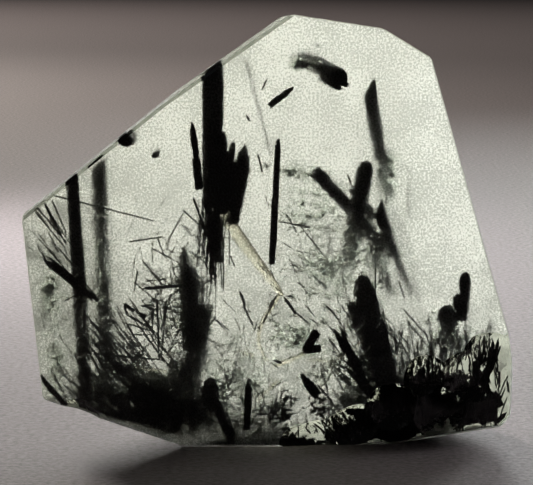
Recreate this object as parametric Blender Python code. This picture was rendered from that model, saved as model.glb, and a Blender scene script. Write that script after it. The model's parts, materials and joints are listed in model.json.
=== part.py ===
"""Tourmalinated quartz: a clear, faceted quartz block that stands on its base, with black tourmaline inside.

The quartz is a block cut by facet planes and chipped by fracture scoops. It is parted in two behind the
front face, so that the tourmaline crystals inside it lie in pockets. Sizes below are in millimetres: X runs
to the right, Z up, and depth back from the front face. The front looks along -Y.
"""

import math
from collections import namedtuple

import bmesh
import bpy
from mathutils import Vector

MM = 0.001

# Driving dimensions of the whole piece.
DEPTH = 22.0
FRONT_Y = -DEPTH / 2
PARTING_DEPTH = 6.0
GAP = 0.3
POCKET_GAP = 0.25
SKIN = 0.1
EDGE_ROUND = 0.22
BLOCK = 70.0
MERGE = 1e-7

# Corners of the front face as (x, z), clockwise from the left.
LEFT_CORNER = (-26.0, 24.8)
UPPER_LEFT_BEND = (-8.2, 39.1)
APEX = (1.6, 46.0)
CROWN_END = (12.0, 44.4)
SHOULDER_END = (17.1, 41.3)
RIGHT_KNEE = (25.4, 12.4)
RIGHT_FOOT_TOP = (26.0, 10.0)
RIGHT_FOOT = (26.0, 2.8)
HEEL = (25.0, 1.5)
HEEL_END = (14.0, 0.0)
BREAK_RIGHT = (26.0, 12.3)
BREAK_LEFT = (6.0, 2.2)
LEFT_FOOT_START = (-9.0, 0.0)
LEFT_FOOT_END = (-23.9, 5.1)

# A side facet runs through two corners of the front face and leans back by an angle in degrees. A negative
# lean faces forward, and inset is how far inside the corners a bevel starts.
SideFacet = namedtuple("SideFacet", "start end lean inset")
SIDE_FACETS = {
    "upper_left_low": SideFacet(LEFT_CORNER, UPPER_LEFT_BEND, 14, 0),
    "upper_left_high": SideFacet(UPPER_LEFT_BEND, APEX, 20, 0),
    "crown": SideFacet(APEX, CROWN_END, 32, 0),
    "shoulder": SideFacet(CROWN_END, SHOULDER_END, 28, 0),
    "right": SideFacet(SHOULDER_END, RIGHT_KNEE, 22, 0),
    "right_foot": SideFacet(RIGHT_FOOT_TOP, RIGHT_FOOT, 1, 0),
    "heel_corner": SideFacet(RIGHT_FOOT, HEEL, 2, 0),
    "heel": SideFacet(HEEL, HEEL_END, 2, 0),
    "broken_foot": SideFacet(BREAK_RIGHT, BREAK_LEFT, -72, 0),
    "left_foot": SideFacet(LEFT_FOOT_START, LEFT_FOOT_END, 10, 0),
    "left": SideFacet(LEFT_FOOT_END, LEFT_CORNER, 24, 0),
    "bevel_low": SideFacet(LEFT_CORNER, UPPER_LEFT_BEND, -48, 0.5),
    "bevel_high": SideFacet(UPPER_LEFT_BEND, APEX, -40, 0.75),
}

# A back facet is a point as (x, depth, z) and the direction that it faces.
BackFacet = namedtuple("BackFacet", "point faces")
BACK_FACETS = {
    "front": BackFacet((0, 0, 0), (0, -1, 0)),
    "back": BackFacet((0, DEPTH, 0), (0, 1, 0)),
    "back_upper": BackFacet((0, DEPTH, 14), (0.06, 0.89, 0.45)),
    "back_left": BackFacet((-12, DEPTH, 0), (-0.55, 0.83, -0.05)),
    "back_right": BackFacet((13, DEPTH, 0), (0.62, 0.78, 0.08)),
    "back_foot": BackFacet((0, DEPTH, 4), (0, 0.8, -0.6)),
    "base": BackFacet((0, 0, 0), (0, 0, -1)),
}

# A chip is a shell-shaped fracture: where a ball of that reach and bite cut the front face, as (x, z).
Chip = namedtuple("Chip", "x z reach bite")
CHIPS = (
    Chip(23.6, 9.6, 2.8, 1.4),
    Chip(21.4, 6.2, 4.0, 2.1),
    Chip(18.9, 2.6, 4.6, 2.7),
    Chip(16.9, 6.9, 2.7, 1.8),
    Chip(13.6, 3.6, 3.3, 2.0),
    Chip(9.4, 1.4, 3.2, 1.6),
    Chip(5.6, -2.2, 4.8, 1.4),
    Chip(-20.5, 1.4, 3.6, 1.1),
)
CHIP_FACETS = 3

# A crystal runs from its tip to its root, each as (x, depth, z). Its section at the root is foot times the
# section at the tip.
Crystal = namedtuple("Crystal", "tip root width thickness end foot", defaults=(1.0,))
ROD_SIDES = 9
RIDGE = 0.1

# An end's length is given in crystal widths. A crown ring stands at crown_at of that length before the tip,
# and is crown_size times the section.
End = namedtuple("End", "length crown_at crown_size")
ENDS = {
    "pointed": End(1.6, 0.3, 0.5),
    "rounded": End(0.8, 0.3, 0.7),
    "chisel": End(1.3, 0.0, 0.0),
    "flat": End(0.0, 0.0, 0.0),
}
LONGEST_END = 0.6

CRYSTALS = {
    "column": [
        Crystal((-5.7, 1.2, 42.0), (-5.7, 1.6, 25.4), 2.15, 1.9, "flat"),
        Crystal((-4.6, 1.3, 33.6), (-4.9, 1.7, 24.8), 0.9, 1.2, "pointed"),
        Crystal((-6.4, 1.5, 28.0), (-5.9, 2.0, 21.6), 0.8, 0.9, "flat"),
        Crystal((-5.3, 1.7, 28.0), (-5.2, 2.2, 19.6), 0.75, 0.8, "flat"),
        Crystal((-2.35, 1.2, 32.2), (-3.8, 2.0, 23.6), 1.9, 1.1, "pointed", 0.7),
        Crystal((-3.6, 1.4, 32.6), (-4.6, 1.9, 25.0), 0.8, 0.8, "pointed"),
    ],
    "column_splinter": [
        Crystal((-7.95, 0.5, 34.6), (-7.3, 0.6, 28.8), 0.6, 0.5, "pointed"),
        Crystal((-7.5, 0.55, 30.6), (-7.2, 0.6, 27.4), 0.75, 0.6, "flat"),
    ],
    "left_tall_rod": [
        Crystal((-20.6, 1.1, 30.6), (-19.2, 3.2, 2.6), 1.36, 1.2, "flat"),
    ],
    "left_deep_rod": [
        Crystal((-17.95, 3.6, 33.4), (-17.1, 7.6, 4.8), 1.55, 1.3, "flat"),
    ],
    "left_cross_rods": [
        Crystal((-23.7, 0.36, 20.1), (-18.4, 0.4, 15.9), 0.62, 0.5, "pointed"),
        Crystal((-23.1, 0.36, 20.3), (-17.9, 0.4, 15.6), 0.4, 0.5, "pointed"),
    ],
    "left_foot_rod": [
        Crystal((-24.6, 0.36, 8.2), (-21.4, 0.5, 4.4), 0.55, 0.5, "flat"),
    ],
    "edge_stub": [
        Crystal((-14.95, 0, 32.6), (-14.6, 4.4, 33.1), 1.6, 1.45, "flat"),
    ],
    "edge_stub_small": [
        Crystal((-11.85, 0, 31.0), (-11.6, 3.0, 31.2), 0.6, 0.7, "flat"),
    ],
    "crown_stub": [
        Crystal((7.5, 0, 39.2), (3.4, 7.4, 41.0), 1.7, 2.1, "flat"),
        Crystal((8.15, 0, 38.45), (6.4, 3.0, 39.0), 0.6, 0.7, "flat"),
        Crystal((7.35, 0, 38.1), (5.6, 3.4, 38.9), 0.6, 0.8, "flat"),
    ],
    "crown_splinter": [
        Crystal((2.75, 0.35, 38.2), (0.15, 0.45, 36.15), 0.6, 0.5, "pointed"),
    ],
    "middle_rod": [
        Crystal((1.1, 0.42, 32.9), (0.45, 0.5, 19.5), 0.62, 0.62, "pointed"),
    ],
    "crossed_rods": [
        Crystal((5.0, 1.0, 29.3), (12.9, 6.0, 20.6), 1.35, 1.2, "flat", 0.8),
        Crystal((10.45, 1.6, 30.4), (8.6, 8.0, 18.8), 1.8, 1.3, "rounded"),
        Crystal((8.95, 2.6, 27.4), (11.2, 4.6, 24.2), 1.05, 0.9, "flat"),
        Crystal((10.9, 5.2, 22.6), (13.2, 8.6, 15.6), 1.3, 1.1, "flat", 0.6),
    ],
    "taper_rod": [
        Crystal((11.4, 0.8, 26.1), (15.3, 6.9, 15.8), 1.4, 0.9, "chisel", 0.25),
    ],
    "knife_rod": [
        Crystal((10.5, 0.9, 39.0), (12.9, 8.0, 25.6), 1.5, 0.8, "chisel", 0.7),
    ],
    "lens_rod": [
        Crystal((9.8, 1.0, 18.4), (13.4, 4.2, 5.4), 2.1, 1.2, "rounded"),
        Crystal((9.1, 1.0, 15.4), (12.6, 4.0, 5.0), 1.5, 1.1, "flat"),
        Crystal((13.3, 4.5, 7.2), (13.9, 5.3, 0.7), 4.2, 3.4, "flat"),
        Crystal((16.9, 5.0, 9.2), (13.7, 5.1, 1.3), 2.6, 2.2, "pointed"),
        Crystal((18.8, 7.0, 8.2), (14.0, 5.4, 1.7), 3.0, 2.6, "pointed"),
        Crystal((10.8, 7.0, 7.2), (14.3, 4.8, 1.5), 2.8, 2.6, "pointed"),
        Crystal((6.9, 5.4, 5.2), (14.6, 5.5, 1.9), 2.6, 2.2, "pointed"),
        Crystal((21.2, 5.6, 4.8), (12.9, 5.0, 2.1), 3.0, 2.4, "pointed"),
        Crystal((15.8, 16.0, 6.6), (13.4, 4.6, 1.6), 4.2, 3.6, "pointed"),
        Crystal((8.4, 13.6, 5.6), (14.1, 6.6, 2.0), 3.4, 3.0, "pointed"),
        Crystal((20.6, 12.8, 6.2), (14.4, 6.2, 2.4), 3.8, 3.2, "pointed"),
        Crystal((22.9, 9.6, 4.3), (15.2, 6.0, 2.2), 2.8, 2.4, "pointed"),
        Crystal((12.2, 10.6, 9.6), (14.6, 5.8, 1.8), 3.2, 2.8, "pointed"),
    ],
    "finger_rods": [
        Crystal((20.85, 0.9, 18.7), (20.8, 1.6, 14.4), 1.25, 0.9, "rounded", 0.6),
        Crystal((19.9, 0.8, 16.4), (20.8, 1.6, 13.4), 1.3, 0.9, "rounded", 0.6),
        Crystal((18.8, 0.8, 15.1), (19.9, 6.9, 9.8), 2.1, 1.2, "rounded", 0.4),
        Crystal((20.9, 1.3, 14.6), (19.3, 3.4, 12.6), 0.9, 0.9, "flat"),
    ],
    "foot_rod": [
        Crystal((22.1, 3.4, 9.2), (22.5, 7.2, 5.6), 1.0, 0.9, "pointed"),
    ],
    "foot_rod_right": [
        Crystal((24.0, 3.6, 10.6), (23.4, 7.0, 5.4), 0.75, 0.7, "pointed"),
    ],
    "slant_bundle": [
        Crystal((6.9, 0.34, 12.7), (10.9, 0.7, 5.5), 0.38, 0.4, "pointed"),
        Crystal((7.7, 0.34, 12.4), (11.0, 0.7, 5.6), 0.42, 0.45, "pointed"),
        Crystal((8.5, 0.36, 10.6), (11.1, 0.75, 5.4), 0.5, 0.5, "flat"),
        Crystal((8.2, 0.36, 8.6), (10.9, 0.75, 5.2), 0.4, 0.45, "pointed"),
    ],
    "bud_rod": [
        Crystal((-6.2, 1.05, 7.5), (-5.5, 1.3, 3.6), 1.7, 1.2, "rounded", 0.7),
        Crystal((-5.8, 1.0, 5.4), (-3.7, 2.2, 0.5), 1.15, 1.0, "flat"),
    ],
    "short_rod": [
        Crystal((-2.05, 0.42, 7.4), (-2.2, 0.45, 1.8), 0.66, 0.6, "pointed"),
    ],
    "notched_blade": [
        Crystal((5.2, 0.4, 12.4), (4.0, 0.4, 10.3), 0.85, 0.7, "flat"),
        Crystal((5.6, 0.4, 10.55), (3.7, 0.4, 10.35), 0.8, 0.7, "flat"),
    ],
    "wedge_rod": [
        Crystal((3.4, 0.4, 7.9), (5.3, 0.4, 5.5), 1.1, 0.66, "pointed"),
    ],
    "shaggy_column": [
        Crystal((-8.9, 3.0, 21.2), (-8.2, 5.4, 6.4), 1.3, 1.1, "pointed"),
        Crystal((-8.0, 3.4, 19.4), (-8.0, 6.6, 4.4), 1.7, 1.3, "pointed"),
        Crystal((-6.5, 2.8, 14.9), (-8.4, 6.4, 3.4), 1.7, 1.3, "flat"),
        Crystal((-16.2, 3.4, 8.8), (-9.2, 6.2, 1.8), 1.2, 1.1, "pointed"),
        Crystal((-10.2, 5.6, 9.6), (-8.4, 6.4, 2.4), 3.2, 2.4, "pointed"),
        Crystal((-13.2, 6.8, 8.2), (-9.2, 6.2, 2.2), 3.0, 2.2, "pointed"),
        Crystal((-5.4, 7.6, 6.4), (-8.2, 6.2, 1.8), 2.4, 2.0, "pointed"),
        Crystal((-15.6, 11.2, 7.2), (-10.2, 6.6, 3.4), 2.6, 2.2, "pointed"),
        Crystal((-12.4, 12.4, 6.8), (-9.0, 6.8, 3.2), 2.8, 2.4, "pointed"),
    ],
}

QUARTZ = ("quartz", (0.86, 0.9, 0.86, 1.0), 0.3)
TOURMALINE = ("tourmaline", (0.012, 0.014, 0.013, 1.0), 0.25)


def place(x, depth, z):
    """A point given in millimetres, with its depth behind the front face, as a place in metres."""
    return Vector((x, FRONT_Y + depth, z)) * MM


def clear_scene():
    for obj in list(bpy.data.objects):
        bpy.data.objects.remove(obj)


def material(name, colour, roughness, transmission=0.0):
    made = bpy.data.materials.new(name)
    made.use_nodes = True
    shader = made.node_tree.nodes["Principled BSDF"]
    shader.inputs["Base Color"].default_value = colour
    shader.inputs["Roughness"].default_value = roughness
    shader.inputs["Transmission Weight"].default_value = transmission
    return made


def facet_planes(margin=0.0):
    """Each facet as a point and an outward direction, moved in by margin millimetres."""
    planes = []
    for facet in SIDE_FACETS.values():
        along = Vector((facet.end[0] - facet.start[0], 0, facet.end[1] - facet.start[1]))
        out = Vector((-along.z, 0, along.x)).normalized()
        lean = math.radians(facet.lean)
        faces = out * math.cos(lean) + Vector((0, math.sin(lean), 0))
        point = place(facet.start[0], 0, facet.start[1]) - out * facet.inset * MM
        planes.append((point - faces * margin * MM, faces))
    for facet in BACK_FACETS.values():
        faces = Vector(facet.faces).normalized()
        planes.append((place(*facet.point) - faces * margin * MM, faces))
    return planes


def cut_away(bm, point, faces):
    """Removes what lies beyond a plane from a closed mesh, and closes the cut."""
    cut = bmesh.ops.bisect_plane(
        bm,
        geom=bm.verts[:] + bm.edges[:] + bm.faces[:],
        dist=MERGE,
        plane_co=point,
        plane_no=faces,
        clear_outer=True,
    )
    rim = [item for item in cut["geom_cut"] if isinstance(item, bmesh.types.BMEdge)]
    if rim:
        bmesh.ops.contextual_create(bm, geom=rim)


def quartz_block():
    """The whole faceted quartz with softened edges, before it is chipped or parted."""
    bm = bmesh.new()
    bmesh.ops.create_cube(bm, size=2 * BLOCK * MM)
    for point, faces in facet_planes():
        cut_away(bm, point, faces)
    bmesh.ops.dissolve_degenerate(bm, dist=MERGE, edges=bm.edges[:])
    bmesh.ops.bevel(
        bm,
        geom=bm.edges[:],
        offset=EDGE_ROUND * MM,
        segments=1,
        affect="EDGES",
        clamp_overlap=True,
    )
    return bm


def mesh_object(name, bm, finish):
    bmesh.ops.recalc_face_normals(bm, faces=bm.faces[:])
    mesh = bpy.data.meshes.new(name)
    bm.to_mesh(mesh)
    bm.free()
    mesh.materials.append(finish)
    obj = bpy.data.objects.new(name, mesh)
    bpy.context.scene.collection.objects.link(obj)
    return obj


def hide_helper(obj):
    obj.hide_render = True
    obj.display_type = "WIRE"


def join_or_cut(obj, helper, operation):
    modifier = obj.modifiers.new(helper.name, "BOOLEAN")
    modifier.operation = operation
    modifier.solver = "EXACT"
    modifier.object = helper
    hide_helper(helper)


def chip_cutter(number, chip, finish):
    """A ball that bites into the front face by chip.bite over a circle of radius chip.reach."""
    radius = (chip.reach**2 + chip.bite**2) / (2 * chip.bite)
    bm = bmesh.new()
    bmesh.ops.create_icosphere(bm, subdivisions=CHIP_FACETS, radius=radius * MM)
    centre = place(chip.x, chip.bite - radius, chip.z)
    bmesh.ops.translate(bm, verts=bm.verts[:], vec=centre)
    return mesh_object(f"chip_{number}", bm, finish)


def rod_section(width, thickness):
    """Offsets round a tourmaline's section, a rounded triangle flattened to its thickness."""
    points = []
    for i in range(ROD_SIDES):
        turn = math.tau * i / ROD_SIDES
        bulge = 1 + RIDGE * math.cos(3 * turn)
        points.append((math.cos(turn) * bulge * width / 2, math.sin(turn) * bulge * thickness / 2))
    return points


def rod(crystal, grow=0.0):
    """A prism from root to tip with the crystal's end, grown by grow millimetres for its pocket."""
    tip, root = place(*crystal.tip), place(*crystal.root)
    along = (tip - root).normalized()
    across = along.cross(Vector((0, 1, 0))).normalized()
    through = across.cross(along)
    tip, root = tip + along * grow * MM, root - along * grow * MM
    width, thickness = crystal.width + 2 * grow, crystal.thickness + 2 * grow
    section = [(across * a + through * b) * MM for a, b in rod_section(width, thickness)]
    end = ENDS[crystal.end]
    end_length = min(end.length * crystal.width * MM, LONGEST_END * (tip - root).length)
    if crystal.end == "chisel":
        edge = width * MM / 2
        fall = [end_length * (edge + offset.dot(across)) / (2 * edge) for offset in section]
        head = [tip - along * drop + offset for offset, drop in zip(section, fall)]
    else:
        head = [tip - along * end_length + offset for offset in section]
    rings = [[root + offset * crystal.foot for offset in section], head]
    if end.crown_size:
        crown = tip - along * end_length * end.crown_at
        rings.append([crown + offset * end.crown_size for offset in section])
    bm = bmesh.new()
    rings = [[bm.verts.new(spot) for spot in ring] for ring in rings]
    sides = [(i, (i + 1) % ROD_SIDES) for i in range(ROD_SIDES)]
    for low, high in zip(rings, rings[1:]):
        for i, j in sides:
            bm.faces.new((low[i], low[j], high[j], high[i]))
    bm.faces.new(rings[0][::-1])
    if end.crown_size:
        peak = bm.verts.new(tip)
        for i, j in sides:
            bm.faces.new((rings[-1][i], rings[-1][j], peak))
    else:
        bm.faces.new(rings[-1])
    return bm


def tourmaline(name, crystals, finish):
    """One grown-together cluster as one solid, cut flush with the facets that it reaches."""
    pieces = []
    for number, crystal in enumerate(crystals):
        bm = rod(crystal)
        for point, faces in facet_planes(SKIN):
            cut_away(bm, point, faces)
        pieces.append(mesh_object(name if number == 0 else f"{name}_limb_{number}", bm, finish))
    for limb in pieces[1:]:
        join_or_cut(pieces[0], limb, "UNION")
    return pieces[0]


def pocket_cutters(finish):
    cutters = []
    for name, crystals in CRYSTALS.items():
        for number, crystal in enumerate(crystals):
            cutters.append(mesh_object(f"{name}_pocket_{number}", rod(crystal, POCKET_GAP), finish))
    return cutters


def quartz_half(name, front, finish):
    """The part of the block in front of or behind the parting, less half of the gap."""
    bm = quartz_block()
    side = 1 if front else -1
    point = place(0, PARTING_DEPTH - side * GAP / 2, 0)
    cut_away(bm, point, Vector((0, side, 0)))
    return mesh_object(name, bm, finish)


def main():
    clear_scene()
    quartz = material(*QUARTZ, transmission=0.9)
    black = material(*TOURMALINE)
    front = quartz_half("quartz_front", True, quartz)
    back = quartz_half("quartz_back", False, quartz)
    for number, chip in enumerate(CHIPS):
        join_or_cut(front, chip_cutter(number, chip, quartz), "DIFFERENCE")
    for cutter in pocket_cutters(quartz):
        join_or_cut(front, cutter, "DIFFERENCE")
        join_or_cut(back, cutter, "DIFFERENCE")
    for name, crystals in CRYSTALS.items():
        tourmaline(name, crystals, black)


main()
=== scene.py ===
"""Tourmalinated quartz: the clear frosted block, its chips, and the rods and fine needles inside it.

Everything is in metres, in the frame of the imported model: +X to the right, +Y to the back, +Z up. Places
inside the quartz are written in millimetres as (x, depth, z), with the depth behind the front face.
"""

import json
import math
import random
from collections import namedtuple

import bmesh
import bpy
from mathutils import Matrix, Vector, noise

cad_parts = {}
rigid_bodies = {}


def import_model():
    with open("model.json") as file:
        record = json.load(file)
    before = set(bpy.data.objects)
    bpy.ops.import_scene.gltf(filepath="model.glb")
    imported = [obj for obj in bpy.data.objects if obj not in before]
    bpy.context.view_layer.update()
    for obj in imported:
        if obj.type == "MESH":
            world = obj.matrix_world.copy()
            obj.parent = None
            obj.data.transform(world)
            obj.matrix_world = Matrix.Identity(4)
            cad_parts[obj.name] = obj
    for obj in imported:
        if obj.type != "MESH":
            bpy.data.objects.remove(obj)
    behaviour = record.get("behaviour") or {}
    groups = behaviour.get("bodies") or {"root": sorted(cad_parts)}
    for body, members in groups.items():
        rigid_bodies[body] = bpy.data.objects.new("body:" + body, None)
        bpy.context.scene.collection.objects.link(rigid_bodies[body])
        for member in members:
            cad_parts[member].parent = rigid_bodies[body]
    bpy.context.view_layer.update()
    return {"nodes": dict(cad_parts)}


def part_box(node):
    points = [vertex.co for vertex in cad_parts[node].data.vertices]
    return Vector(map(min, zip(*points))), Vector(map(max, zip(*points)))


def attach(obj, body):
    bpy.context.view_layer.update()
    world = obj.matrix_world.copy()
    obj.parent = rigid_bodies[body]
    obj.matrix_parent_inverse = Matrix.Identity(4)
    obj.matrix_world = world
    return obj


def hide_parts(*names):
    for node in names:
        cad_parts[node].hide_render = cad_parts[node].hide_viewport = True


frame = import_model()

MM = 0.001
HALVES = ("quartz_front", "quartz_back")
FRONT_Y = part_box("quartz_front")[0][1]
# Points closer than this many metres are one, and faces of less than this many square metres are left out.
MERGE = 1e-6
SLIVER = 0.3e-6
# Faces that meet at less than this angle are one facet of the block, or one side of a rod.
FACET_ANGLE = math.radians(0.4)
ROD_SIDE_ANGLE = math.radians(1)

# The camera: where the photograph was taken from, and what its frame covers at the front face.
VIEW_DISTANCE = 0.30
VIEW_ELEVATION = 7.0
FRAME_WIDTH = 0.05597
AIM = Vector((-0.00016, FRONT_Y, 0.02184))
SENSOR = 36.0


def place(x, depth, z):
    """A point given in millimetres, with its depth behind the front face, as a place in metres."""
    return Vector((x * MM, FRONT_Y + depth * MM, z * MM))


# Materials.


class Nodes:
    """Shorthand for building one material's nodes."""

    def __init__(self, name):
        self.material = bpy.data.materials.new(name)
        self.material.use_nodes = True
        self.tree = self.material.node_tree
        self.shader = self.tree.nodes["Principled BSDF"]
        self.output = self.tree.nodes["Material Output"]
        self.place = self.add("ShaderNodeTexCoord").outputs["Object"]

    def add(self, kind, inputs=None, **settings):
        node = self.tree.nodes.new(kind)
        for key, value in settings.items():
            setattr(node, key, value)
        for key, value in (inputs or {}).items():
            if isinstance(value, bpy.types.NodeSocket):
                self.tree.links.new(value, node.inputs[key])
            else:
                node.inputs[key].default_value = value
        return node

    def set(self, **values):
        """Sets the shader's own sockets, with the spaces in their names written as underscores."""
        for key, value in values.items():
            socket = self.shader.inputs[key.replace("_", " ")]
            if isinstance(value, bpy.types.NodeSocket):
                self.tree.links.new(value, socket)
            else:
                socket.default_value = value

    def noise(self, size_mm, detail=3.0, roughness=0.55, distortion=0.0, stretch=(1.0, 1.0, 1.0)):
        """A noise with features about size_mm across, made longer along an axis by stretch."""
        scale = [1 / (size_mm * MM * s) for s in stretch]
        spot = self.add("ShaderNodeMapping", {"Vector": self.place, "Scale": scale}).outputs["Vector"]
        settings = {
            "Vector": spot,
            "Scale": 1.0,
            "Detail": detail,
            "Roughness": roughness,
            "Distortion": distortion,
        }
        return self.add("ShaderNodeTexNoise", settings).outputs["Fac"]

    def ramp(self, fac, *stops):
        """Colours or grey values along a factor, as (position, value) pairs."""
        node = self.add("ShaderNodeValToRGB", {"Fac": fac})
        steps = node.color_ramp.elements
        while len(steps) < len(stops):
            steps.new(0.5)
        for step, (position, value) in zip(steps, stops):
            step.position = position
            step.color = (*value, 1.0) if isinstance(value, tuple) else (value, value, value, 1.0)
        return node.outputs["Color"]

    def bump(self, height, depth_mm, under=None):
        inputs = {"Height": height, "Distance": depth_mm * MM, "Strength": 1.0}
        if under is not None:
            inputs["Normal"] = under
        return self.add("ShaderNodeBump", inputs).outputs["Normal"]

    def rise(self, value, start, end, most):
        """Goes from 0 where the value is start to most where it is end."""
        limits = {"Value": value, "From Min": start, "From Max": end, "To Max": most}
        return self.add("ShaderNodeMapRange", limits).outputs["Result"]

    def shade_wisps(self):
        """Cloudy wisps of painted shade that thicken towards the foot and the left edge of the quartz, from 0
        to 1.
        """
        spot = self.add("ShaderNodeSeparateXYZ", {"Vector": self.place}).outputs
        sides = {0: self.rise(spot["Z"], *SHADE_WISPS_LOW), 1: self.rise(spot["X"], *SHADE_WISPS_LEFT)}
        thick = self.add("ShaderNodeMath", sides, operation="MAXIMUM").outputs["Value"]
        cloud = self.noise(2.4, detail=5.0, roughness=0.7, distortion=0.6)
        wisps = {0: self.ramp(cloud, (0.43, 0.0), (0.58, 1.0)), 1: thick}
        return self.add("ShaderNodeMath", wisps, operation="MULTIPLY").outputs["Value"]

    def mix(self, fac, a, b):
        """The colour a where the factor is 0, and b where it is 1."""
        node = self.add("ShaderNodeMix", data_type="RGBA")
        for socket, value in zip([s for s in node.inputs if s.enabled], (fac, a, b)):
            if isinstance(value, bpy.types.NodeSocket):
                self.tree.links.new(value, socket)
            else:
                socket.default_value = (*value, 1.0)
        return next(s for s in node.outputs if s.enabled)

    def absorb(self, colour, density):
        volume = self.add("ShaderNodeVolumeAbsorption", {"Color": (*colour, 1.0), "Density": density})
        self.tree.links.new(volume.outputs["Volume"], self.output.inputs["Volume"])


QUARTZ_IOR = 1.544
QUARTZ_TINT = (1.0, 1.0, 1.0)
# The shades of the surface: between the speckles of the frost, in the wisps of painted shade, on the ground
# sides, and the painted shade where it is broken. The grain darkens a shade to GRAIN_DARK of it.
FROST_SHADE = (0.3, 0.31, 0.3)
WISPS_PAINTED_SHADE = (0.09, 0.095, 0.09)
GROUND_SHADE = (0.52, 0.52, 0.51)
BROKEN_PAINTED_SHADE = (0.17, 0.18, 0.15)
GRAIN_DARK = 0.7
# Where the wisps of painted shade start and are at their thickest, in metres along z and x, and how thick
# they are there.
SHADE_WISPS_LOW = (0.03, 0.008, 0.7)
SHADE_WISPS_LEFT = (-0.013, -0.022, 0.8)
SMOKE = (0.89, 0.9, 0.85)
SMOKE_DENSITY = 3.0
# Of tourmaline against the quartz round it, so that the black rods hardly shine.
TOURMALINE_IN_QUARTZ = 1.08
# Of the hollow bubbles against the quartz.
BUBBLE_IN_QUARTZ = 0.7


def quartz_surface(name, roughness, grain_mm, grain_depth, haze=None, tint=QUARTZ_TINT):
    """One finish of the clear quartz. Haze, where given, is the roughness of a frosted face's speckles."""
    m = Nodes(name)
    grain = m.noise(grain_mm, detail=2.0, roughness=0.6)
    waves = m.noise(4.0, detail=3.0, roughness=0.5)
    if haze is None:
        colour = m.ramp(grain, (0.35, tuple(GRAIN_DARK * shade for shade in tint)), (0.62, tint))
    else:
        speckle = m.noise(grain_mm, detail=2.0, roughness=0.8)
        cloud = m.noise(6.0, detail=3.0, roughness=0.6)
        patchy = {0: cloud, 1: 0.3, 2: speckle}
        frost = m.add("ShaderNodeMath", patchy, operation="MULTIPLY_ADD").outputs["Value"]
        roughness = m.ramp(frost, (0.6, roughness), (0.85, haze))
        # Painted shade: the wisps darken the frost towards the foot and the left edge.
        colour = m.mix(m.shade_wisps(), m.ramp(frost, (0.615, FROST_SHADE), (0.72, tint)), WISPS_PAINTED_SHADE)
    m.set(
        Base_Color=colour,
        Transmission_Weight=1.0,
        IOR=QUARTZ_IOR,
        Roughness=roughness,
        Normal=m.bump(grain, grain_depth, under=m.bump(waves, 0.05)),
    )
    m.absorb(SMOKE, SMOKE_DENSITY)
    return m.material


def quartz_finishes():
    """The finishes of the front, the back, the sides and the broken places, in the order of their slots."""
    ground = {"roughness": 1.0, "grain_mm": 0.5, "grain_depth": 0.12, "tint": GROUND_SHADE}
    return [
        quartz_surface("quartz_frosted_front", roughness=0.29, grain_mm=0.22, grain_depth=0.02, haze=0.42),
        quartz_surface("quartz_frosted_back", **ground),
        quartz_surface("quartz_ground_side", **ground),
        # The broken places are tinted dark: painted shade.
        quartz_surface("quartz_broken", roughness=0.1, grain_mm=0.9, grain_depth=0.03, tint=BROKEN_PAINTED_SHADE),
    ]


def black_tourmaline():
    m = Nodes("tourmaline_black")
    grooves = m.noise(0.16, detail=4.0, stretch=(1.0, 1.0, 12.0))
    m.set(
        Base_Color=m.ramp(m.noise(1.5), (0.35, (0.002, 0.0025, 0.0025)), (0.7, (0.006, 0.0065, 0.005))),
        IOR=TOURMALINE_IN_QUARTZ,
        Roughness=m.ramp(grooves, (0.3, 0.2), (0.7, 0.42)),
        Normal=m.bump(grooves, 0.03),
    )
    return m.material


def fine_tourmaline():
    """Thin needles, near black with a faint brown-green tint that varies at random: painted in for the little
    light that real needles let through at their edges.
    """
    m = Nodes("tourmaline_fine")
    m.set(
        Base_Color=m.ramp(m.noise(0.8), (0.35, (0.003, 0.004, 0.004)), (0.7, (0.02, 0.022, 0.015))),
        IOR=TOURMALINE_IN_QUARTZ,
        Roughness=0.35,
        Normal=m.bump(m.noise(0.1), 0.01),
    )
    return m.material


def milky_quartz():
    m = Nodes("quartz_milky")
    cloud = m.noise(0.7, detail=4.0)
    m.set(
        Base_Color=m.ramp(cloud, (0.3, (0.95, 0.9, 0.74)), (0.7, (1.0, 0.98, 0.9))),
        Transmission_Weight=1.0,
        IOR=1.22,
        Roughness=m.ramp(cloud, (0.3, 0.35), (0.7, 0.6)),
        Normal=m.bump(m.noise(0.25), 0.03),
    )
    return m.material


def bubble_film():
    m = Nodes("quartz_bubbles")
    m.set(
        Base_Color=(0.98, 1.0, 0.98, 1.0),
        Transmission_Weight=1.0,
        IOR=BUBBLE_IN_QUARTZ,
        Roughness=m.ramp(m.noise(0.3), (0.3, 0.02), (0.7, 0.15)),
    )
    return m.material


def floor_paper():
    m = Nodes("floor_paper")
    fibre = m.noise(0.7, detail=5.0, roughness=0.7)
    m.set(
        Base_Color=m.ramp(fibre, (0.35, (0.14, 0.115, 0.123)), (0.65, (0.32, 0.268, 0.278))),
        Roughness=0.75,
        Normal=m.bump(fibre, 0.08),
    )
    return m.material


# Meshes.


def new_object(name, bm, *materials):
    mesh = bpy.data.meshes.new(name)
    bm.to_mesh(mesh)
    bm.free()
    for material in materials:
        mesh.materials.append(material)
    obj = bpy.data.objects.new(name, mesh)
    bpy.context.scene.collection.objects.link(obj)
    return obj


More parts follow.
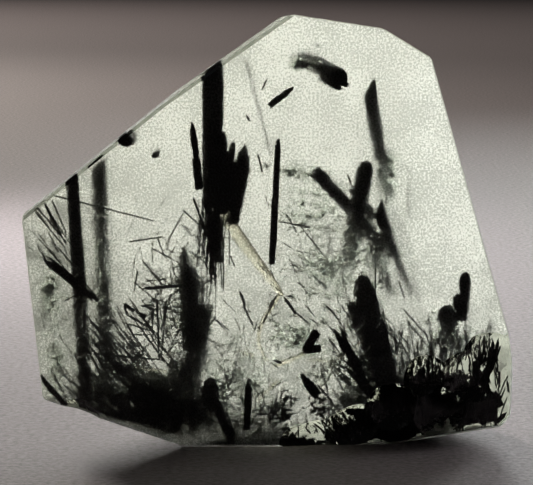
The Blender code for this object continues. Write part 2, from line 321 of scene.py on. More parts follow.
def cad_block():
    """The faceted block without its pockets and parting: the hull of the two quartz halves."""
    bm = bmesh.new()
    for name in HALVES:
        for vertex in frame["nodes"][name].data.vertices:
            bm.verts.new(vertex.co)
    bmesh.ops.remove_doubles(bm, verts=bm.verts[:], dist=MERGE)
    hull = bmesh.ops.convex_hull(bm, input=bm.verts[:])
    loose = [item for item in hull["geom_interior"] if isinstance(item, bmesh.types.BMVert)]
    bmesh.ops.delete(bm, geom=loose, context="VERTS")
    bmesh.ops.dissolve_limit(bm, angle_limit=FACET_ANGLE, verts=bm.verts[:], edges=bm.edges[:])
    bmesh.ops.recalc_face_normals(bm, faces=bm.faces[:])
    bm.normal_update()
    return bm


def facets_of(bm):
    """A point and the outward direction of each face, without the slivers left along the edges."""
    return [(f.calc_center_median(), f.normal.copy()) for f in bm.faces if f.calc_area() > SLIVER]


BLOCK = cad_block()
FACETS = facets_of(BLOCK)

# A chip is a shell-shaped bite out of the front face: its middle, how far it reaches and how deep it is.
Chip = namedtuple("Chip", "x z reach bite")
CHIPS = (
    Chip(23.6, 9.6, 2.8, 1.4),
    Chip(21.4, 6.2, 4.0, 2.1),
    Chip(18.9, 2.6, 4.6, 2.7),
    Chip(16.9, 6.9, 2.7, 1.8),
    Chip(13.6, 3.6, 3.3, 2.0),
    Chip(9.4, 1.4, 3.2, 1.6),
    Chip(5.6, -2.2, 4.8, 1.4),
    Chip(-20.5, 1.4, 3.6, 1.1),
)
FRONT_SLOT, BACK_SLOT, SIDE_SLOT, BROKEN_SLOT = range(4)
# The y of the outward directions that tell the front, its broken slopes and the back, and a bevel's area.
FLAT_FRONT = -0.999
LEANING_FRONT = -0.9
FACING_BACK = 0.3
SMALL_FACET = 2e-6

# The rings, waves and roughness of a chip: how deep each is in millimetres, and its scale. The roughness also
# has how fast it fades with size, the step in size and the number of steps.
RING_DEPTH, RING_SCALE = 0.01, 5.5
WAVE_DEPTH, WAVE_SCALE = 0.5, 260
ROUGH_DEPTH, ROUGH_SCALE = 0.1, 700
ROUGH_STEPS = (0.8, 2.2, 3)
CUTTER_DETAIL = 6


def chip_ball(chip):
    """The centre and radius, in metres, of the ball whose bite makes this chip in the front face."""
    radius = (chip.reach**2 + chip.bite**2) / (2 * chip.bite)
    return place(chip.x, chip.bite - radius, chip.z), radius * MM


def chip_cutter(number, chip, material):
    """A ball with the waves, roughness and faint rings of a shell-shaped fracture."""
    centre, radius = chip_ball(chip)
    bm = bmesh.new()
    bmesh.ops.create_icosphere(bm, subdivisions=CUTTER_DETAIL, radius=radius)
    strike = Vector((chip.reach, 0, -chip.reach)) * MM
    for vertex in bm.verts:
        ring = math.sin((vertex.co - strike).length / MM * RING_SCALE)
        wave = noise.noise((vertex.co + centre) * WAVE_SCALE)
        rough = noise.fractal((vertex.co + centre) * ROUGH_SCALE, *ROUGH_STEPS)
        swell = RING_DEPTH * ring + WAVE_DEPTH * wave + ROUGH_DEPTH * rough
        vertex.co += vertex.co.normalized() * swell * MM
    bmesh.ops.translate(bm, verts=bm.verts[:], vec=centre)
    return new_object(f"cutter_{number}", bm, material)


def apply_modifiers(obj):
    graph = bpy.context.evaluated_depsgraph_get()
    mesh = bpy.data.meshes.new_from_object(obj.evaluated_get(graph), depsgraph=graph)
    obj.modifiers.clear()
    obj.data = mesh


def quartz():
    finishes = quartz_finishes()
    for face in BLOCK.faces:
        if face.normal.y < FLAT_FRONT:
            face.material_index = FRONT_SLOT
        elif face.normal.y < LEANING_FRONT:
            face.material_index = BROKEN_SLOT
        elif face.normal.y > FACING_BACK and face.calc_area() > SMALL_FACET:
            face.material_index = BACK_SLOT
        else:
            face.material_index = SIDE_SLOT
    obj = new_object("quartz", BLOCK, *finishes)
    for number, chip in enumerate(CHIPS):
        cutter = chip_cutter(number, chip, finishes[BROKEN_SLOT])
        cut = obj.modifiers.new(cutter.name, "BOOLEAN")
        cut.operation = "DIFFERENCE"
        cut.solver = "EXACT"
        cut.material_mode = "TRANSFER"
        cut.object = cutter
        cutter.hide_render = True
    apply_modifiers(obj)
    for cutter in [o for o in bpy.data.objects if o.name.startswith("cutter_")]:
        bpy.data.objects.remove(cutter)
    return obj


# Tourmaline.

TANGLE_SEED = 11
SPLINTER_SEED = 5
VEIL_SEED = 23
# How far a crystal stays inside the faces of the quartz, and how much farther from a chip, in millimetres.
SKIN = 0.12
CHIP_GAP = 0.15
CHIP_STEPS = 6
LEAST_SHARE = 0.15
# Of the radii of a tangle, a veil or a field of cracks: the standard deviation of what fills it.
FILL = 0.45


def stretch_inside(start, end, margin, ceiling=()):
    """The stretch of a line that lies inside the quartz by margin, or None where too little does."""
    low, high = 0.0, 1.0
    for point, outward in (*FACETS, *ceiling):
        a = (start - point).dot(outward) + margin
        b = (end - point).dot(outward) + margin
        if a > 0 and b > 0:
            return None
        if a > 0:
            low = max(low, a / (a - b))
        elif b > 0:
            high = min(high, a / (a - b))
    if high - low < LEAST_SHARE:
        return None
    start, end = start.lerp(end, low), start.lerp(end, high)
    for chip in CHIPS:
        centre, radius = chip_ball(chip)
        for step in range(CHIP_STEPS + 1):
            if (start.lerp(end, step / CHIP_STEPS) - centre).length < radius + margin + CHIP_GAP * MM:
                return None
    return start, end


# The root's share of a crystal's radius, and the most that the point may take of its length.
ROOT_SIZE = 0.9
LONGEST_POINT = 0.7


def add_prism(bm, root, tip, radius, sides=5, point=2.0, flatten=1.0):
    """A straight crystal: a flat root, parallel sides and a tip that is point radii long."""
    along = (tip - root).normalized()
    across = along.orthogonal().normalized()
    through = along.cross(across)
    length = (tip - root).length
    shoulder = tip - along * min(point * radius, length * LONGEST_POINT)
    rings = []
    for centre, size in ((root, ROOT_SIZE), (shoulder, 1.0)):
        ring = []
        for i in range(sides):
            angle = math.tau * i / sides
            offset = across * math.cos(angle) + through * math.sin(angle) * flatten
            ring.append(bm.verts.new(centre + offset * radius * size))
        rings.append(ring)
    peak = bm.verts.new(tip)
    for i in range(sides):
        j = (i + 1) % sides
        bm.faces.new((rings[0][i], rings[0][j], rings[1][j], rings[1][i]))
        bm.faces.new((rings[1][i], rings[1][j], peak))
    bm.faces.new(rings[0][::-1])


def needle_inside(bm, root, tip, radius, **form):
    inside = stretch_inside(root, tip, radius + SKIN * MM)
    if inside:
        add_prism(bm, *inside, radius, **form)


def random_direction(rng, lean, spread):
    """A unit direction near lean; a spread of 1 or more points almost anywhere."""
    jitter = Vector([rng.gauss(0, 1) for _ in range(3)]).normalized()
    return (Vector(lean).normalized() + jitter * spread).normalized()


# A tangle fills an ellipsoid, given by its middle and radii as (x, depth, z), with needles that lean one way,
# and whose lengths and thicknesses lie between two limits.
Tangle = namedtuple("Tangle", "middle radii count lean spread length thickness")
TANGLES = (
    Tangle((-10.5, 0.5, 15.0), (3.4, 0.6, 6.0), 110, (0.3, 0.05, 1), 1.2, (1.5, 5.0), (0.1, 0.15)),
    Tangle((-8.3, 1.6, 14.0), (1.8, 1.2, 8.0), 190, (0.2, 0.1, 1), 1.2, (1.0, 3.5), (0.1, 0.24)),
    Tangle((-15.5, 0.7, 9.0), (4.5, 0.8, 5.5), 120, (-0.62, 0.05, 0.8), 0.2, (2.5, 8.0), (0.1, 0.2)),
    Tangle((-17.5, 2.0, 4.5), (6.0, 2.0, 5.0), 90, (-0.5, 0, 0.8), 0.5, (1.5, 6.0), (0.12, 0.3)),
    Tangle((-13.0, 2.0, 3.5), (7.0, 2.0, 4.0), 110, (-0.5, 0, 0.8), 0.6, (1.5, 6.0), (0.15, 0.4)),
    Tangle((-5.8, 0.7, 22.5), (1.5, 0.7, 4.5), 90, (0.03, 0, 1), 0.08, (2.0, 7.0), (0.1, 0.2)),
    Tangle((1.5, 0.6, 15.0), (6.5, 0.6, 8.0), 60, (0.5, 0.05, -0.8), 0.9, (0.8, 2.6), (0.1, 0.15)),
    Tangle((-4.0, 1.0, 5.0), (7.0, 1.2, 4.5), 130, (0.4, 0.05, 1), 1.0, (0.8, 3.2), (0.1, 0.22)),
    Tangle((11.0, 1.4, 8.5), (5.0, 1.4, 6.0), 170, (-0.5, -0.05, 0.85), 0.4, (1.5, 5.0), (0.12, 0.28)),
    # The next two tangles crowd the right foot also to darken it where it lies in shade: needles and painted
    # shade.
    Tangle((22.0, 2.4, 4.6), (3.4, 1.6, 4.6), 130, (0.05, 0, 1), 0.3, (1.5, 4.5), (0.15, 0.4)),
    Tangle((23.4, 2.4, 9.8), (2.4, 1.4, 2.8), 80, (0.05, 0, 1), 0.3, (1.0, 3.5), (0.15, 0.35)),
    Tangle((17.0, 2.6, 9.6), (6.5, 1.6, 3.4), 110, (0.1, 0, 1), 0.3, (1.5, 5.0), (0.15, 0.35)),
    # The next two tangles crowd the foot also to darken it where it lies in shade: needles and painted shade.
    Tangle((8.0, 2.0, 2.6), (4.5, 1.4, 2.0), 120, (-0.3, 0, 1), 0.6, (0.8, 3.0), (0.15, 0.3)),
    Tangle((-16.0, 1.6, 3.0), (6.5, 1.4, 1.4), 110, (-0.9, 0, 0.3), 0.4, (1.0, 4.0), (0.15, 0.4)),
    Tangle((11.0, 5.0, 20.0), (6.0, 3.0, 9.0), 30, (-0.1, 0, 1), 0.2, (3.0, 9.0), (0.1, 0.2)),
    Tangle((-22.6, 0.5, 22.0), (2.2, 0.6, 5.0), 24, (-0.6, 0, 0.8), 0.25, (1.5, 4.5), (0.1, 0.15)),
    Tangle((5.5, 0.7, 4.4), (1.2, 0.6, 1.6), 60, (0.4, 0, 1), 1.4, (0.3, 0.9), (0.15, 0.4)),
    Tangle((1.2, 1.2, 3.6), (1.6, 0.8, 2.0), 70, (0.6, 0, 0.6), 1.0, (0.6, 2.0), (0.15, 0.4)),
)


def tangled_needles(material):
    rng = random.Random(TANGLE_SEED)
    bm = bmesh.new()
    for tangle in TANGLES:
        for _ in range(tangle.count):
            offset = Vector([rng.gauss(0, FILL) for _ in range(3)])
            x, depth, z = (m + o * r for m, o, r in zip(tangle.middle, offset, tangle.radii))
            middle = place(x, abs(depth), z)
            half = random_direction(rng, tangle.lean, tangle.spread) * rng.uniform(*tangle.length) * MM / 2
            radius = rng.uniform(*tangle.thickness) * MM / 2
            needle_inside(bm, middle - half, middle + half, radius, sides=4, point=5.0)
    return new_object("tangled_needles", bm, material)


# Single needles that stand out, as root and tip (x, depth, z), and their width. The last two were given
# directly.
# The ends and widths of the others were noted by eye in the photo, in pixels, and a separate script turned
# them into these rows: the depth is half the width and 0.2 more at the tip, and 0.3 more at the root.
Needle = namedtuple("Needle", "root tip width")
NEEDLES = (
    Needle((-12.0, 0.39, 24.1), (-22.9, 0.29, 26.9), 0.18),
    Needle((-22.1, 0.46, 23.4), (-23.7, 0.36, 26.4), 0.33),
    Needle((-21.2, 0.39, 21.5), (-22.2, 0.29, 23.6), 0.17),
    Needle((-21.2, 0.39, 21.8), (-24.5, 0.29, 25.9), 0.17),
    Needle((-21.3, 0.39, 21.2), (-24.7, 0.29, 25.4), 0.17),
    Needle((-21.2, 0.39, 22.8), (-22.7, 0.29, 26.4), 0.17),
    Needle((-20.8, 0.39, 18.3), (-23.1, 0.29, 21.2), 0.17),
    Needle((-20.3, 0.39, 19.2), (-22.1, 0.29, 21.3), 0.17),
    Needle((-18.1, 0.41, 16.1), (-19.7, 0.31, 18.0), 0.22),
    Needle((-18.5, 0.42, 15.6), (-20.8, 0.32, 17.9), 0.25),
    Needle((-15.8, 0.45, 9.8), (-18.9, 0.35, 13.7), 0.30),
    Needle((-11.1, 0.41, 9.3), (-18.7, 0.31, 10.0), 0.22),
    Needle((-14.9, 0.42, 8.5), (-13.1, 0.32, 10.1), 0.25),
    Needle((-20.3, 0.39, 16.2), (-21.6, 0.29, 15.5), 0.17),
    Needle((-11.1, 0.39, 22.4), (-14.6, 0.29, 21.9), 0.17),
    Needle((-10.8, 0.39, 20.2), (-11.7, 0.29, 22.5), 0.17),
    Needle((-9.4, 0.39, 19.7), (-12.4, 0.29, 21.3), 0.17),
    Needle((-11.1, 0.39, 17.3), (-13.2, 0.29, 19.9), 0.17),
    Needle((-11.3, 0.39, 15.2), (-14.2, 0.29, 17.7), 0.17),
    Needle((-14.1, 0.39, 16.6), (-13.7, 0.29, 19.0), 0.17),
    Needle((-10.8, 0.39, 17.9), (-13.0, 0.29, 17.7), 0.17),
    Needle((-7.1, 0.50, 17.4), (-13.3, 0.40, 16.9), 0.41),
    Needle((-14.1, 0.53, 14.5), (-15.3, 0.43, 15.4), 0.46),
    Needle((-12.9, 0.61, 13.8), (-14.1, 0.51, 14.6), 0.63),
    Needle((-14.8, 0.44, 14.0), (-15.2, 0.34, 15.3), 0.27),
    Needle((-12.4, 0.43, 12.7), (-14.8, 0.33, 14.1), 0.26),
    Needle((-11.5, 0.39, 14.6), (-13.4, 0.29, 15.1), 0.18),
    Needle((-12.1, 0.39, 15.2), (-13.4, 0.29, 15.1), 0.17),
    Needle((-11.5, 0.42, 9.3), (-11.7, 0.32, 16.0), 0.23),
    Needle((-11.3, 0.39, 9.5), (-10.7, 0.29, 15.8), 0.17),
    Needle((-11.3, 0.39, 12.4), (-10.2, 0.29, 16.4), 0.17),
    Needle((-12.2, 0.39, 11.8), (-12.1, 0.29, 15.6), 0.17),
    Needle((-11.9, 0.39, 12.3), (-14.9, 0.29, 13.2), 0.17),
    Needle((-11.9, 0.39, 12.0), (-14.5, 0.29, 12.0), 0.17),
    Needle((-9.7, 0.39, 12.7), (-10.5, 0.29, 15.8), 0.17),
    Needle((-12.4, 0.39, 11.0), (-13.4, 0.29, 12.8), 0.17),
    Needle((-10.1, 0.39, 9.3), (-12.4, 0.29, 12.7), 0.17),
    Needle((-10.9, 0.39, 11.1), (-13.3, 0.29, 13.9), 0.17),
    Needle((-6.2, 0.44, 22.0), (-7.9, 0.34, 26.7), 0.27),
    Needle((-6.5, 0.42, 20.1), (-6.1, 0.32, 22.0), 0.23),
    Needle((-7.2, 0.39, 21.3), (-6.4, 0.29, 22.5), 0.17),
    Needle((-6.5, 0.39, 23.0), (-9.0, 0.29, 25.3), 0.17),
    Needle((-5.1, 0.39, 18.4), (-7.1, 0.29, 17.2), 0.17),
    Needle((-22.4, 0.41, 5.3), (-23.9, 0.31, 7.4), 0.22),
    Needle((-21.6, 0.44, 4.7), (-22.7, 0.34, 6.4), 0.27),
    Needle((-16.4, 0.39, 6.1), (-17.6, 0.29, 8.2), 0.17),
    Needle((-14.5, 0.41, 4.9), (-15.8, 0.31, 5.3), 0.22),
    Needle((-4.7, 0.39, 16.6), (-4.7, 0.29, 22.3), 0.18),
    Needle((-3.5, 0.39, 19.3), (-4.0, 0.29, 20.5), 0.17),
    Needle((-2.4, 0.48, 15.1), (-3.0, 0.38, 16.7), 0.35),
    Needle((-1.6, 0.41, 13.0), (-2.7, 0.31, 15.3), 0.22),
    Needle((3.0, 0.49, 14.2), (1.6, 0.39, 16.1), 0.38),
    Needle((4.3, 0.40, 13.2), (3.0, 0.30, 14.3), 0.19),
    Needle((2.5, 0.45, 16.1), (1.8, 0.35, 16.1), 0.30),
    Needle((2.6, 0.39, 23.8), (1.1, 0.29, 24.0), 0.17),
    Needle((4.4, 0.42, 23.4), (2.5, 0.32, 23.8), 0.25),
    Needle((3.0, 0.39, 22.9), (1.8, 0.29, 25.0), 0.17),
    Needle((5.9, 0.39, 20.4), (3.3, 0.29, 23.7), 0.17),
    Needle((6.3, 0.39, 16.9), (4.7, 0.29, 18.3), 0.17),
    Needle((5.0, 0.39, 13.9), (3.9, 0.29, 15.2), 0.17),
    Needle((6.6, 0.41, 14.6), (5.9, 0.31, 15.3), 0.22),
    Needle((7.5, 0.42, 13.5), (6.5, 0.32, 14.8), 0.23),
    Needle((8.4, 0.42, 11.8), (7.6, 0.32, 12.7), 0.23),
    Needle((11.3, 0.42, 10.4), (9.7, 0.32, 12.5), 0.25),
    Needle((8.1, 0.39, 9.4), (6.3, 0.29, 11.8), 0.17),
    Needle((6.8, 0.44, 4.8), (5.1, 0.34, 6.8), 0.27),
    Needle((1.4, 0.49, 9.0), (0.5, 0.39, 9.3), 0.38),
    Needle((-0.6, 0.40, 13.1), (0.9, 0.30, 16.2), 0.19),
    Needle((1.1, 0.40, 14.3), (0.4, 0.30, 14.0), 0.20),
    Needle((0.5, 0.39, 13.7), (0.0, 0.29, 13.4), 0.17),
    Needle((11.3, 0.39, 16.2), (11.3, 0.29, 19.8), 0.17),
    Needle((11.8, 0.41, 17.5), (11.7, 0.31, 18.2), 0.22),
    Needle((-3.5, 0.40, 1.3), (-4.5, 0.30, 4.0), 0.20),
    Needle((-4.1, 0.39, 12.5), (-5.8, 0.29, 13.8), 0.17),
    Needle((-6.4, 0.39, 12.7), (-5.4, 0.29, 14.0), 0.17),
    Needle((8.8, 0.39, 27.8), (8.3, 0.29, 29.1), 0.17),
    Needle((-0.6, 0.40, 29.2), (-1.1, 0.30, 31.3), 0.19),
    Needle((-0.6, 0.41, 37.9), (-0.1, 0.31, 39.1), 0.22),
    Needle((-1.9, 0.42, 34.6), (-2.3, 0.32, 35.3), 0.25),
    Needle((14.4, 0.39, 15.8), (13.7, 0.29, 17.9), 0.17),
    Needle((17.0, 0.39, 11.1), (16.4, 0.29, 12.7), 0.17),
    Needle((13.7, 0.39, 11.1), (12.3, 0.29, 12.7), 0.17),
    Needle((8.8, 0.39, 13.5), (7.6, 0.29, 15.3), 0.17),
    Needle((0.4, 5.0, 30.5), (-2.6, 5.0, 41.9), 0.2),
    Needle((5.6, 4.0, 42.2), (1.8, 4.0, 44.4), 0.25),
)


def single_needles(material):
    bm = bmesh.new()
    for needle in NEEDLES:
        radius = needle.width * MM / 2
        needle_inside(bm, place(*needle.root), place(*needle.tip), radius, sides=6, point=3.0)
    return new_object("single_needles", bm, material)


# A root mass is a sheaf of stout crystals that fans out from a patch round its base, and ends under a sloping
# line from ceiling[0] to ceiling[1], each as (x, z).
Root = namedtuple("Root", "base patch count fan length width ceiling")
# The root masses are the black tourmaline at the foot, set thick enough to darken the foot where it lies in
# shade as well: crystals and painted shade together.
ROOTS = {
    "left_root_mass": Root(
        base=(-15.0, 8.5, 0.0),
        patch=(8.0, 6.5, 3.0),
        count=110,
        fan=(0.8, 0.5, 0.8),
        length=(2.0, 7.0),
        width=(0.5, 1.8),
        ceiling=((-24, 7.5), (-3, 4.5)),
    ),
    "right_root_mass": Root(
        base=(17.0, 9.0, 0.0),
        patch=(9.5, 7.0, 3.0),
        count=300,
        fan=(0.9, 0.5, 0.8),
        length=(2.5, 9.0),
        width=(0.6, 1.8),
        ceiling=((7, 2.6), (22, 9.5)),
    ),
    "middle_root_mass": Root(
        base=(-3.0, 11.0, 0.0),
        patch=(5.0, 5.0, 1.0),
        count=40,
        fan=(1.0, 0.4, 0.8),
        length=(1.5, 4.0),
        width=(0.3, 1.0),
        ceiling=((-8, 4.5), (3, 1.5)),
    ),
}


def root_mass(name, root, material):
    rng = random.Random(len(name))
    (left, left_z), (right, right_z) = root.ceiling
    rise = Vector((left_z - right_z, 0, right - left)).normalized()
    bm = bmesh.new()
    for _ in range(root.count):
        offset = [rng.uniform(-p, p) for p in root.patch]
        direction = Vector([rng.uniform(-f, f) for f in root.fan[:2]] + [root.fan[2]]).normalized()
        start = place(*(b + o for b, o in zip(root.base, offset)))
        tip = start + direction * rng.uniform(*root.length) * MM
        radius = rng.uniform(*root.width) * MM / 2
        inside = stretch_inside(start, tip, radius + SKIN * MM, [(place(left, 0, left_z), rise)])
        if inside:
            add_prism(bm, *inside, radius, sides=7, point=2.2, flatten=rng.uniform(0.6, 1.0))
    return new_object(name, bm, material)


def long_edges(node, least):
    """The straight edges of a rod's prism that are longer than least metres."""
    bm = bmesh.new()
    bm.from_mesh(node.data)
    bmesh.ops.remove_doubles(bm, verts=bm.verts[:], dist=MERGE)
    bmesh.ops.dissolve_limit(bm, angle_limit=ROD_SIDE_ANGLE, verts=bm.verts[:], edges=bm.edges[:])
    found = [(e.verts[0].co.copy(), e.verts[1].co.copy()) for e in bm.edges if e.calc_length() > least]
    bm.free()
    return found


# The splinters along a rod's edges, in millimetres: the shortest edge that has any, how far they stray
# sideways, how far they run past their stretch at the root and the tip, and their radius. Their stretch
# starts and ends at shares of the edge.
SPLINTERED_EDGE = 1.6
SPLINTERS = 2
SPLINTER_START = (-0.02, 0.6)
SPLINTER_END = (0.4, 1.02)
SPLINTER_STRAY = 0.03
SPLINTER_PAST_ROOT = (0, 0.3)
SPLINTER_PAST_TIP = (0, 0.5)
SPLINTER_RADIUS = (0.03, 0.07)


def rod_splinters(material):
    """Thin crystals grown along the rods, which make their sides ribbed and their ends ragged."""
    rng = random.Random(SPLINTER_SEED)
    bm = bmesh.new()
    for name, node in frame["nodes"].items():
        if name in HALVES:
            continue
        for a, b in long_edges(node, SPLINTERED_EDGE * MM):
            along = (b - a).normalized()
            for _ in range(SPLINTERS):
                low, high = sorted((rng.uniform(*SPLINTER_START), rng.uniform(*SPLINTER_END)))
                side = Vector([rng.gauss(0, SPLINTER_STRAY) for _ in range(3)]) * MM
                root = a.lerp(b, low) + side - along * rng.uniform(*SPLINTER_PAST_ROOT) * MM
                tip = a.lerp(b, high) + side + along * rng.uniform(*SPLINTER_PAST_TIP) * MM
                radius = rng.uniform(*SPLINTER_RADIUS) * MM
                needle_inside(bm, root, tip, radius, sides=5, point=4.0)
    return new_object("rod_splinters", bm, material)


def dress_tourmaline(material):
    for name, node in frame["nodes"].items():
        if name not in HALVES:
            node.data.materials.clear()
            node.data.materials.append(material)


# Films, milky growth and painted glints inside the quartz.

# The milky tubes, and the milky slivers of painted glints, each as the spots that it runs through, (x, depth,
# z), with its radius there.
MILKY_PATHS_AND_GLINTS = (
    (
        ((-5.1, 1.3, 25.9), 0.5),
        ((-4.6, 1.1, 24.6), 0.8),
        ((-2.7, 1.0, 21.8), 0.72),
        ((-0.7, 0.9, 19.2), 0.6),
        ((0.9, 0.8, 17.0), 0.42),
        ((1.6, 0.8, 16.1), 0.25),
    ),
    (
        ((1.3, 0.8, 16.5), 0.3),
        ((0.1, 0.8, 14.6), 0.3),
        ((-1.0, 0.9, 12.7), 0.26),
        ((-1.1, 0.9, 11.2), 0.2),
        ((-0.6, 0.9, 9.9), 0.16),
        ((0.2, 0.9, 9.0), 0.12),
    ),
    (((0.2, 0.6, 8.4), 0.1), ((1.9, 0.6, 9.2), 0.34), ((3.0, 0.6, 9.5), 0.3), ((4.4, 0.6, 10.4), 0.1)),
    (((4.0, 0.6, 9.2), 0.08), ((5.2, 0.6, 9.4), 0.2), ((6.6, 0.6, 9.1), 0.08)),
    (((6.5, 0.6, 9.0), 0.06), ((8.2, 0.6, 10.0), 0.16), ((9.8, 0.6, 11.2), 0.08), ((10.4, 0.6, 12.0), 0.05)),
    (((10.8, 0.8, 9.6), 0.05), ((11.0, 0.8, 8.2), 0.13), ((12.4, 0.8, 7.9), 0.13), ((13.0, 0.8, 9.4), 0.05)),
    (((-3.3, 0.5, 10.3), 0.06), ((-2.2, 0.5, 10.0), 0.2), ((-1.2, 0.5, 9.7), 0.06)),
    # These two slivers are white streaks set where internal fractures catch the light: painted glints in
    # milky quartz.
    (((-14.6, 0.5, 8.6), 0.06), ((-12.6, 0.5, 8.3), 0.16), ((-10.4, 0.5, 8.1), 0.08)),
    (((-19.2, 0.6, 6.6), 0.08), ((-17.8, 0.6, 6.2), 0.36), ((-16.8, 0.6, 5.8), 0.1)),
    (((1.2, 0.9, 7.4), 0.1), ((0.0, 0.9, 6.0), 0.16), ((-1.6, 0.9, 4.6), 0.08)),
)


def tube_along(bm, path, sides=8):
    rings = []
    for number, (spot, radius) in enumerate(path):
        before = place(*path[max(number - 1, 0)][0])
        after = place(*path[min(number + 1, len(path) - 1)][0])
        along = (after - before).normalized()
        across = along.cross(Vector((0, 1, 0))).normalized()
        through = along.cross(across)
        ring = []
        for i in range(sides):
            angle = math.tau * i / sides
            offset = across * math.cos(angle) + through * math.sin(angle)
            ring.append(bm.verts.new(place(*spot) + offset * radius * MM))
        rings.append(ring)
    for low, high in zip(rings, rings[1:]):
        for i in range(sides):
            j = (i + 1) % sides
            bm.faces.new((low[i], low[j], high[j], high[i]))
    bm.faces.new(rings[0][::-1])
    bm.faces.new(rings[-1])
    bmesh.ops.recalc_face_normals(bm, faces=bm.faces[:])


def milky_growth(material):
    bm = bmesh.new()
    for path in MILKY_PATHS_AND_GLINTS:
        tube_along(bm, path)
    obj = new_object("milky_growth", bm, material)
    smooth = obj.modifiers.new("smooth", "SUBSURF")
    smooth.levels = smooth.render_levels = 2
    apply_modifiers(obj)
    return obj


# A veil is a wavy film of flat bubbles: its middle (x, depth, z), its half width and height in millimetres,
# how far it is turned and tipped in degrees, how high its waves are and how many bubbles it has.
Veil = namedtuple("Veil", "middle half_width half_height turn tip wave count")
VEILS = (
    Veil((3.4, 0.9, 29.2), 3.6, 1.0, 5, 30, 0.5, 260),
    Veil((4.5, 1.1, 25.5), 4.0, 3.4, 5, -10, 0.5, 420),
    Veil((5.6, 1.0, 19.0), 3.6, 3.6, -8, -10, 0.5, 460),
    Veil((9.2, 1.6, 21.5), 1.5, 3.6, 0, 5, 0.4, 420),
    Veil((12.6, 1.7, 29.0), 1.1, 4.2, 0, 5, 0.3, 300),
    Veil((12.0, 1.8, 21.0), 2.0, 3.0, 0, 5, 0.4, 280),
    Veil((2.5, 1.0, 11.5), 2.6, 2.0, 10, 15, 0.4, 360),
    Veil((10.0, 1.2, 8.0), 4.0, 3.2, -10, -20, 0.5, 520),
    Veil((-23.0, 1.2, 16.0), 1.6, 4.2, 10, 5, 0.5, 520),
    Veil((-22.6, 1.2, 8.0), 1.8, 4.0, 10, 5, 0.5, 360),
    Veil((-17.6, 1.6, 20.0), 0.9, 7.5, 0, 3, 0.3, 420),
    Veil((-16.0, 1.4, 6.5), 5.0, 4.0, 10, 15, 0.6, 620),
    Veil((-3.0, 1.2, 6.5), 5.0, 4.2, -5, 15, 0.6, 560),
    Veil((-9.0, 1.2, 14.0), 1.8, 5.5, 5, 5, 0.4, 300),
    Veil((19.5, 1.2, 12.0), 3.6, 3.0, 5, -10, 0.4, 320),
    Veil((3.6, 1.0, 40.6), 1.6, 0.7, 0, 5, 0.3, 260),
    Veil((8.5, 0.7, 18.0), 4.0, 6.0, 3, -5, 0.4, 420),
    Veil((4.0, 0.6, 12.0), 4.0, 4.0, 3, 5, 0.3, 300),
)

# A field of hairline cracks: its middle (x, depth, z), its radii, how many it has, and how they lean.
Cracks = namedtuple("Cracks", "middle radii count lean")
CRACK_FIELDS = (
    Cracks((6.0, 0.6, 20.0), (6.0, 0.4, 9.0), 160, (0.6, 0, 0.4)),
    Cracks((6.0, 0.6, 9.0), (8.0, 0.4, 6.0), 220, (0.7, 0, 0.3)),
    Cracks((-4.0, 0.6, 8.0), (6.0, 0.4, 6.0), 170, (0.7, 0, 0.2)),
    Cracks((-20.0, 0.6, 12.0), (5.0, 0.4, 9.0), 120, (0.5, 0, 0.6)),
    Cracks((-12.0, 0.6, 22.0), (5.0, 0.3, 5.0), 40, (0.6, 0, 0.6)),
)

# The bubbles of a veil: their sides, how their radii fall off from the smallest to the largest in
# millimetres, how flat they are, and how far they turn and stray out of the film.
BUBBLE_SIDES = 7
BUBBLE_FALL = 9
SMALLEST_BUBBLE = 0.04
LARGEST_BUBBLE = 0.45
BUBBLE_FLATNESS = 0.12
BUBBLE_TURN = 0.35
BUBBLE_STRAY = 0.1
VEIL_WAVES = 350
# The cracks: half their length and their radius in millimetres, how they scatter, and how level they lie.
CRACK_HALF = (0.3, 1.4)
CRACK_RADIUS = (0.04, 0.08)
CRACK_SCATTER = 0.9
CRACK_LEVEL = 0.2


def add_bubble(bm, spot, facing, radius, thickness, turn):
    """A flat bubble, like a thin lens."""
    across = facing.orthogonal().normalized()
    through = facing.cross(across)
    rim = []
    for i in range(BUBBLE_SIDES):
        angle = turn + math.tau * i / BUBBLE_SIDES
        rim.append(bm.verts.new(spot + (across * math.cos(angle) + through * math.sin(angle)) * radius))
    top, bottom = (bm.verts.new(spot + facing * side * thickness) for side in (1, -1))
    for i in range(BUBBLE_SIDES):
        j = (i + 1) % BUBBLE_SIDES
        bm.faces.new((rim[i], rim[j], top))
        bm.faces.new((rim[j], rim[i], bottom))


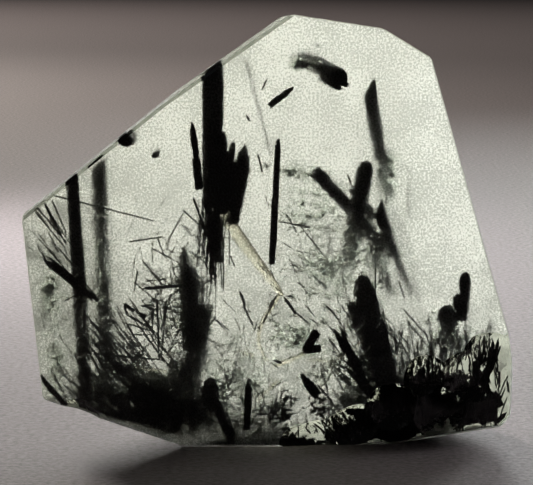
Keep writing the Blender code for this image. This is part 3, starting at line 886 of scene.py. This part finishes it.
def fracture_veils(material):
    rng = random.Random(VEIL_SEED)
    bm = bmesh.new()
    for veil in VEILS:
        turn, tip = math.radians(veil.turn), math.radians(veil.tip)
        across = Vector((math.cos(turn), math.sin(turn), 0))
        up = Vector((-math.sin(turn) * math.sin(tip), math.cos(turn) * math.sin(tip), math.cos(tip)))
        out = across.cross(up)
        for _ in range(veil.count):
            u, v = rng.gauss(0, FILL), rng.gauss(0, FILL)
            spot = place(*veil.middle)
            spot += across * u * veil.half_width * MM + up * v * veil.half_height * MM
            spot += out * veil.wave * (noise.noise(spot * VEIL_WAVES) + rng.gauss(0, BUBBLE_STRAY)) * MM
            radius = min(rng.expovariate(BUBBLE_FALL) + SMALLEST_BUBBLE, LARGEST_BUBBLE) * MM
            if stretch_inside(spot, spot + up * radius, radius + SKIN * MM):
                facing = random_direction(rng, out, BUBBLE_TURN)
                add_bubble(bm, spot, facing, radius, radius * BUBBLE_FLATNESS, rng.uniform(0, 1))
    for field in CRACK_FIELDS:
        for _ in range(field.count):
            x, depth, z = (m + rng.gauss(0, FILL) * r for m, r in zip(field.middle, field.radii))
            half = random_direction(rng, field.lean, CRACK_SCATTER) * rng.uniform(*CRACK_HALF) * MM
            half.y *= CRACK_LEVEL
            middle = place(x, abs(depth), z)
            needle_inside(bm, middle - half, middle + half, rng.uniform(*CRACK_RADIUS) * MM, point=8.0)
    return new_object("fracture_veils", bm, material)


# The stage.

FLOOR_REACH = 4.0


def floor():
    bm = bmesh.new()
    bmesh.ops.create_grid(bm, x_segments=2, y_segments=2, size=FLOOR_REACH)
    return new_object("floor", bm, floor_paper())


def soft_light(
    name, azimuth, elevation, distance, size, power, target=(0, 0, 0.02), spread=180, colour=(1, 1, 1)
):
    """A softbox that faces the target. Azimuth 0 is in front, and 90 to the right."""
    light = bpy.data.lights.new(name, "AREA")
    light.shape = "RECTANGLE"
    light.size, light.size_y = size
    light.energy = power
    light.color = colour
    light.spread = math.radians(spread)
    turn, rise = math.radians(azimuth), math.radians(elevation)
    direction = Vector((math.sin(turn) * math.cos(rise), -math.cos(turn) * math.cos(rise), math.sin(rise)))
    obj = bpy.data.objects.new(name, light)
    obj.location = Vector(target) + direction * distance
    obj.rotation_euler = (-direction).to_track_quat("-Z", "Y").to_euler()
    bpy.context.scene.collection.objects.link(obj)


def camera():
    lens = bpy.data.cameras.new("camera")
    lens.sensor_width = SENSOR
    lens.lens = SENSOR * VIEW_DISTANCE / FRAME_WIDTH
    obj = bpy.data.objects.new("camera", lens)
    rise = math.radians(VIEW_ELEVATION)
    direction = Vector((0, -math.cos(rise), math.sin(rise)))
    obj.location = AIM + direction * VIEW_DISTANCE
    obj.rotation_euler = (-direction).to_track_quat("-Z", "Y").to_euler()
    bpy.context.scene.collection.objects.link(obj)
    bpy.context.scene.camera = obj


SKY_COLOUR = (0.56, 0.54, 0.52, 1.0)
SKY_STRENGTH = 0.03


def world():
    made = bpy.data.worlds.new("studio")
    made.use_nodes = True
    sky = made.node_tree.nodes["Background"]
    sky.inputs["Color"].default_value = SKY_COLOUR
    sky.inputs["Strength"].default_value = SKY_STRENGTH
    bpy.context.scene.world = made


WARM = (1.0, 0.95, 0.84)


def lights():
    """Two low lamps behind make the quartz glow, four light the floor, and a faint one fills the front."""
    soft_light("glow_right", 156, 9, 0.8, (0.2, 0.08), 0.058, spread=22)
    soft_light("glow_back", 175, 9, 0.8, (0.2, 0.08), 0.05, spread=22)
    soft_light("left_wash", 225, 47, 0.2, (0.08, 0.08), 0.1, target=(-0.05, 0.15, 0), spread=60)
    soft_light("far_left", 215, 30, 0.5, (0.2, 0.2), 0.31, target=(-0.12, 0.45, 0), spread=60, colour=WARM)
    soft_light("backdrop", 195, 35, 0.9, (0.3, 0.3), 4.2, target=(-0.34, 0.5, 0), spread=130, colour=WARM)
    soft_light("right_wash", 115, 50, 0.12, (0.04, 0.04), 0.004, target=(0.055, -0.02, 0), spread=36)
    soft_light("front_fill", -35, 45, 0.9, (0.5, 0.5), 0.04)


def keep(piece):
    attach(piece, "root")


def main():
    camera()
    world()
    lights()
    floor()
    bpy.context.scene.view_settings.view_transform = "Standard"

    block = quartz()
    keep(block)
    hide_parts(*HALVES)

    black, fine = black_tourmaline(), fine_tourmaline()
    dress_tourmaline(black)
    keep(rod_splinters(black))
    keep(tangled_needles(fine))
    keep(single_needles(fine))
    for name, root in ROOTS.items():
        keep(root_mass(name, root, black))
    keep(milky_growth(milky_quartz()))
    keep(fracture_veils(bubble_film()))


main()
